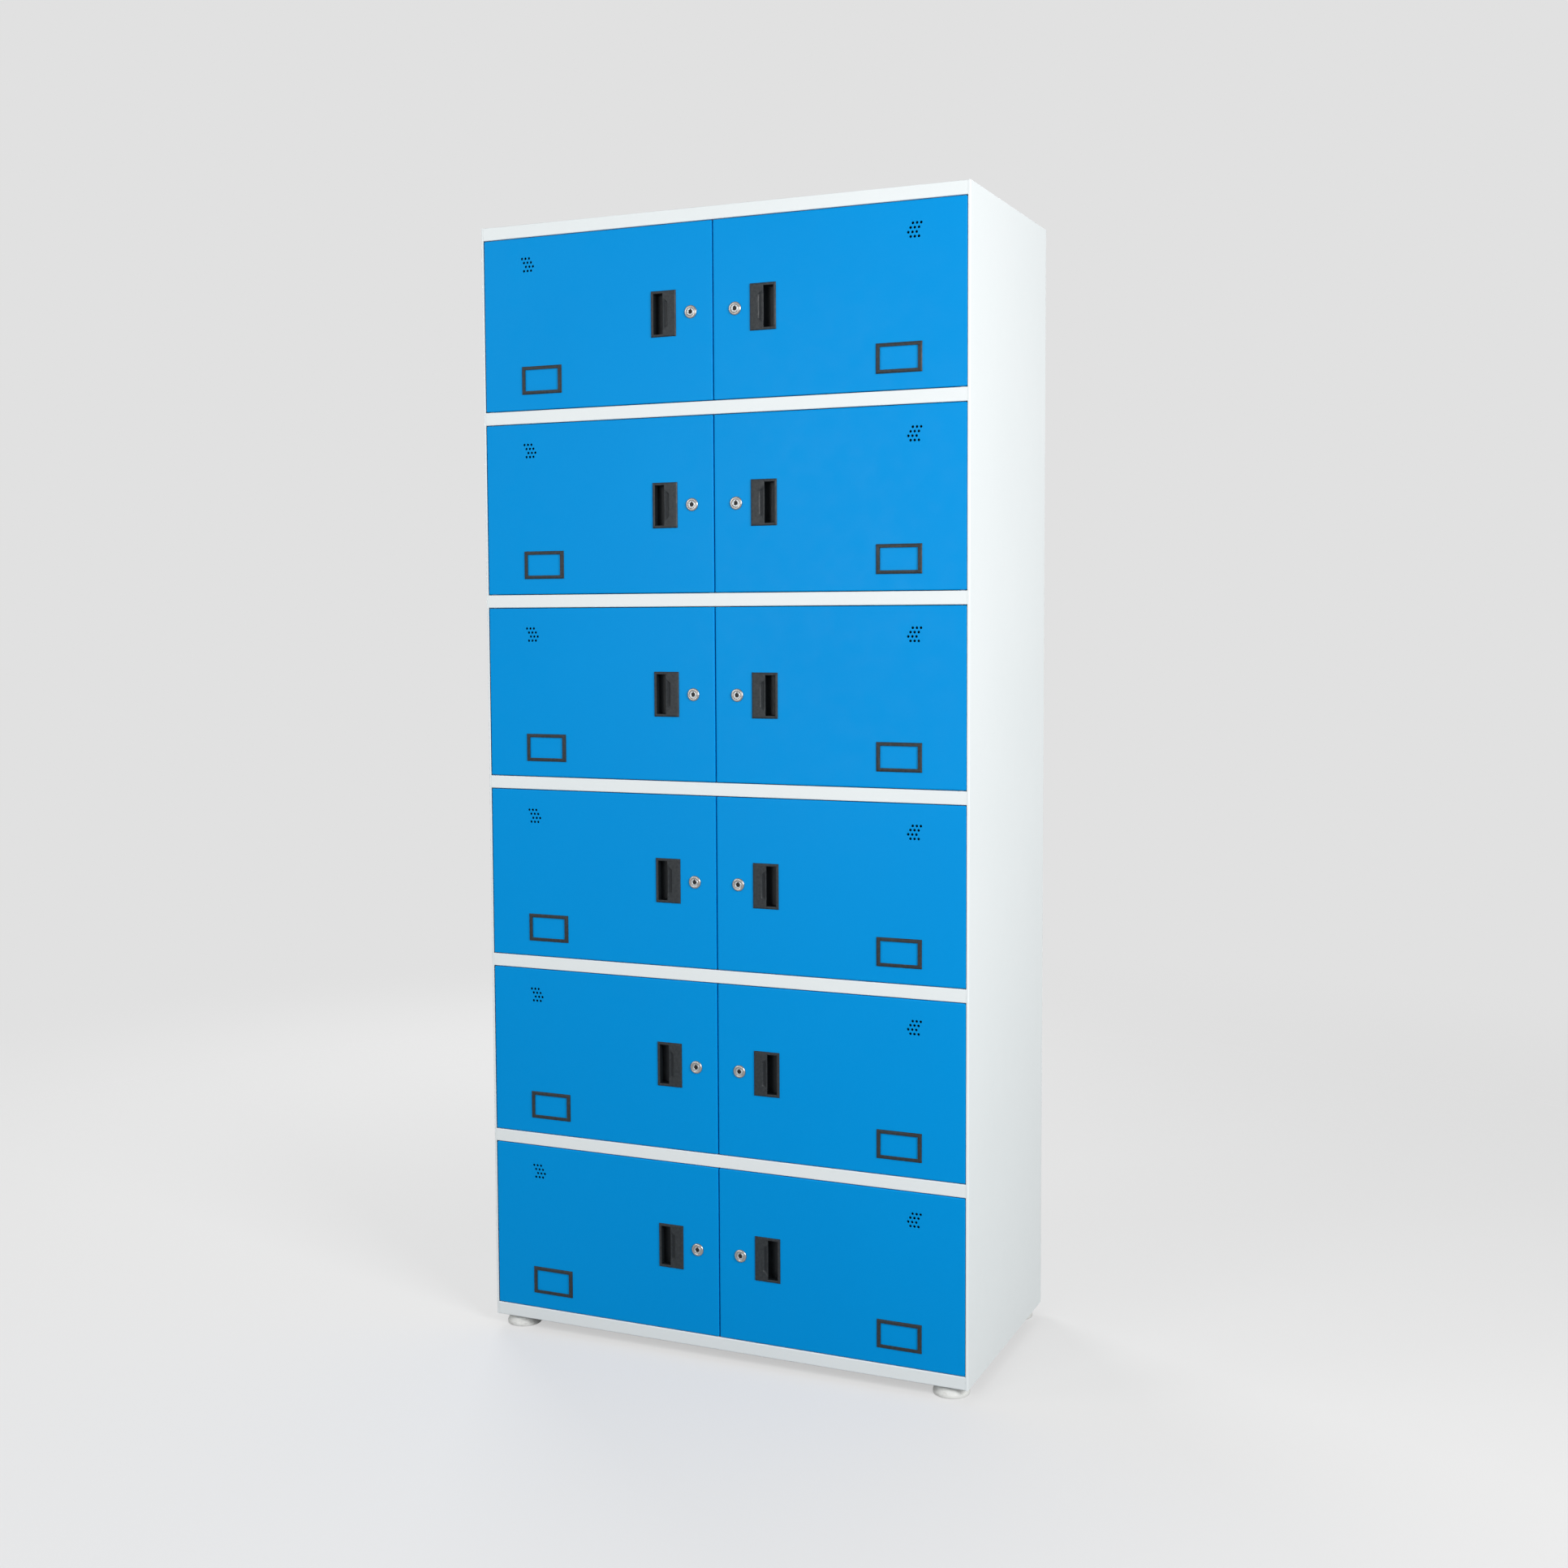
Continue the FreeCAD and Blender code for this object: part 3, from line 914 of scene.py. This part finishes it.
def levelling_foot(collar_top, stud_top):
    """Flared pad, hexagon collar and threaded stud."""
    profile = [(foot_radius * run, foot_pad_height * rise) for run, rise in foot_pad_profile]
    pad = standing(turned(profile))
    collar = standing(prism(hexagon(foot_collar_width), foot_pad_height, collar_top))
    threads = [(0, collar_top), (stud_radius, collar_top)]
    z = collar_top
    while z < stud_top - stud_pitch:
        threads += [(stud_radius, z + stud_crest), (stud_radius - thread_depth, z + thread_pitch)]
        z += stud_pitch
    threads += [(stud_radius - 2 * thread_depth, stud_top), (0, stud_top)]
    stud = standing(turned(threads, steps=stud_sides))
    return pad.add(collar).add(stud)


# Fittings on the doors

def fit_doors():
    shapes = {
        "panel": door_panel(),
        "pull": flush_pull(),
        "card": card_frame(),
        "lock": lock_body(),
        "plug": lock_plug(),
        "keyway": keyway(),
        "cam": lock_cam(),
    }
    bevels = {"cam": metal_edge}
    lock_spot = Vector((lock_x, 0, lock_z))
    spots = {
        "panel": Vector((0, 0, 0)),
        "pull": Vector((pull_x0, 0, pull_z0)),
        "card": Vector((card_x0, 0, card_z0)),
        "lock": lock_spot,
        "plug": lock_spot,
        "keyway": lock_spot,
        "cam": lock_spot,
    }
    fittings = (
        ("panel", "door", "blue_powder_coat", blue, "door_panel"),
        ("pull", "door", "black_plastic", black, "pull_and_card_frame"),
        ("card", "door", "black_plastic", black, "pull_and_card_frame"),
        ("lock", "door", "chrome", nickel, "lock_body"),
        ("plug", "lock", "chrome", chrome, "lock_plug_and_cam"),
        ("keyway", "lock", "black_plastic", key_hole_shade, "lock_plug_and_cam"),
        ("cam", "lock", "zinc_steel", zinc, "lock_plug_and_cam"),
    )
    for side, sign in sides.items():
        meshes = {
            name: shape.mesh(f"{name}_{side}", flip_x=sign < 0, bevel=bevels.get(name, 0.0))
            for name, shape in shapes.items()
        }
        for tier in tiers:
            tag = f"{tier}_{side}"
            low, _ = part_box(f"door_panel_{tier}_right")
            for name, body, slot, material, node in fittings:
                x, y, z = low + spots[name]
                location = (sign * x, y, z)
                body_name, node_name = f"{body}_{tag}", f"{node}_{tag}"
                place(f"{name}_{tag}", meshes[name], location, body_name, material, node_name)


def fit_feet():
    carcass_low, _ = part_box("left_side_panel")
    for place_name in ("front", "rear"):
        for side in sides:
            name = f"foot_{place_name}_{side}"
            low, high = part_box(name)
            shape = levelling_foot(carcass_low.z + sheet, high.z)
            middle = (low + high) / 2
            mesh = shape.mesh(f"{name}_pad")
            location = (middle.x, middle.y, 0)
            place(f"{name}_pad", mesh, location, name, off_white, name)


def finish_carcass():
    """Gives the solids that stay in view their paint."""
    slots = {part["node"]: part["material_slot"] for part in frame["record"]["subparts"]}
    for name, node in frame["nodes"].items():
        node.data.materials.clear()
        # The hinge rods get the darkened steel: painted shade in the door gaps
        hinge_steel = name == "hinge_rods_and_washers"
        node.data.materials.append(hinge_steel_painted_shade if hinge_steel else slot_materials[slots[name]])


# Stage

def seen_directly(tree):
    """One for rays of the camera, of reflections and through clear pieces, otherwise zero."""
    path = tree.nodes.new("ShaderNodeLightPath")
    result = path.outputs["Is Camera Ray"]
    for name in ("Is Glossy Ray", "Is Transmission Ray"):
        either = tree.nodes.new("ShaderNodeMath")
        either.operation = "MAXIMUM"
        tree.links.new(result, either.inputs[0])
        tree.links.new(path.outputs[name], either.inputs[1])
        result = either.outputs[0]
    return result


def level_between(tree, source, low, high):
    """Level that runs from low to high as the source runs from zero to one."""
    level = tree.nodes.new("ShaderNodeMapRange")
    level.inputs["To Min"].default_value = low
    level.inputs["To Max"].default_value = high
    tree.links.new(source, level.inputs["Value"])
    return level.outputs["Result"]


def build_floor():
    """Pale round floor that fades into the background and keeps the shadow of the locker."""
    surface = Surface()
    radii = [floor_radius * i / floor_rings for i in range(1, floor_rings + 1)]
    rings = [circle(radius, steps=floor_steps) for radius in radii]
    surface.loft([[(0, 0, 0)]] + [[(x, z, 0) for x, z in ring] for ring in rings])
    mesh = surface.mesh("studio_floor")
    if mesh.polygons[0].normal.z < 0:
        mesh.flip_normals()
    floor = bpy.data.objects.new("studio_floor", mesh)
    bpy.context.scene.collection.objects.link(floor)
    material = bpy.data.materials.new("studio_floor")
    material.use_nodes = True
    tree = material.node_tree
    tree.nodes.clear()
    nodes = {
        key: tree.nodes.new(kind)
        for key, kind in {
            "where": "ShaderNodeTexCoord",
            "far": "ShaderNodeVectorMath",
            "fade": "ShaderNodeMapRange",
            "matt": "ShaderNodeBsdfDiffuse",
            "glow": "ShaderNodeEmission",
            "sum": "ShaderNodeAddShader",
            "clear": "ShaderNodeBsdfTransparent",
            "mix": "ShaderNodeMixShader",
            "out": "ShaderNodeOutputMaterial",
        }.items()
    }
    nodes["far"].operation = "LENGTH"
    nodes["fade"].interpolation_type = "SMOOTHSTEP"
    nodes["fade"].inputs["From Min"].default_value = floor_fade_from
    nodes["fade"].inputs["From Max"].default_value = floor_radius
    nodes["matt"].inputs["Color"].default_value = (floor_albedo, floor_albedo, floor_albedo, 1)
    nodes["glow"].inputs["Color"].default_value = (1, 1, 1, 1)
    wires = [
        (level_between(tree, seen_directly(tree), 0.0, floor_glow), nodes["glow"].inputs["Strength"]),
        (nodes["where"].outputs["Object"], nodes["far"].inputs[0]),
        (nodes["far"].outputs["Value"], nodes["fade"].inputs["Value"]),
        (nodes["matt"].outputs[0], nodes["sum"].inputs[0]),
        (nodes["glow"].outputs[0], nodes["sum"].inputs[1]),
        (nodes["fade"].outputs["Result"], nodes["mix"].inputs["Fac"]),
        (nodes["sum"].outputs[0], nodes["mix"].inputs[1]),
        (nodes["clear"].outputs[0], nodes["mix"].inputs[2]),
        (nodes["mix"].outputs[0], nodes["out"].inputs["Surface"]),
    ]
    for source, target in wires:
        tree.links.new(source, target)
    floor.data.materials.append(material)


def build_world():
    """Even pale surroundings, and a lower level for the light that they give."""
    world = bpy.data.worlds.new("studio")
    bpy.context.scene.world = world
    world.use_nodes = True
    tree = world.node_tree
    tree.nodes.clear()
    sky = tree.nodes.new("ShaderNodeBackground")
    sky.inputs["Color"].default_value = (1, 1, 1, 1)
    out = tree.nodes.new("ShaderNodeOutputWorld")
    tree.links.new(level_between(tree, seen_directly(tree), world_level, pale), sky.inputs["Strength"])
    tree.links.new(sky.outputs[0], out.inputs["Surface"])


def soft_box(name, spot, target, size, power):
    lamp = bpy.data.lights.new(name, "AREA")
    lamp.shape = "RECTANGLE"
    lamp.size, lamp.size_y = size
    lamp.energy = power
    box = bpy.data.objects.new(name, lamp)
    bpy.context.scene.collection.objects.link(box)
    box.location = spot
    box.rotation_euler = (Vector(target) - Vector(spot)).to_track_quat("-Z", "Y").to_euler()


def build_lights():
    for name, settings in lamps.items():
        soft_box(name, *settings)


def build_camera():
    lens = bpy.data.cameras.new("photo_camera")
    lens.sensor_width = sensor_width
    lens.lens = focal_pixels / image_size * sensor_width
    lens.shift_x = 0.5 - axis_pixel[0] / image_size
    lens.shift_y = axis_pixel[1] / image_size - 0.5
    camera = bpy.data.objects.new("photo_camera", lens)
    bpy.context.scene.collection.objects.link(camera)
    turn = Matrix.Rotation(camera_yaw, 4, "Z") @ Matrix.Rotation(math.pi / 2 + camera_pitch, 4, "X")
    turn = turn @ Matrix.Rotation(camera_roll, 4, "Z")
    camera.matrix_world = Matrix.Translation(camera_place) @ turn
    bpy.context.scene.camera = camera


bpy.context.scene.view_settings.view_transform = "Standard"
build_world()
build_lights()
build_camera()
build_floor()
finish_carcass()
fit_doors()
fit_feet()
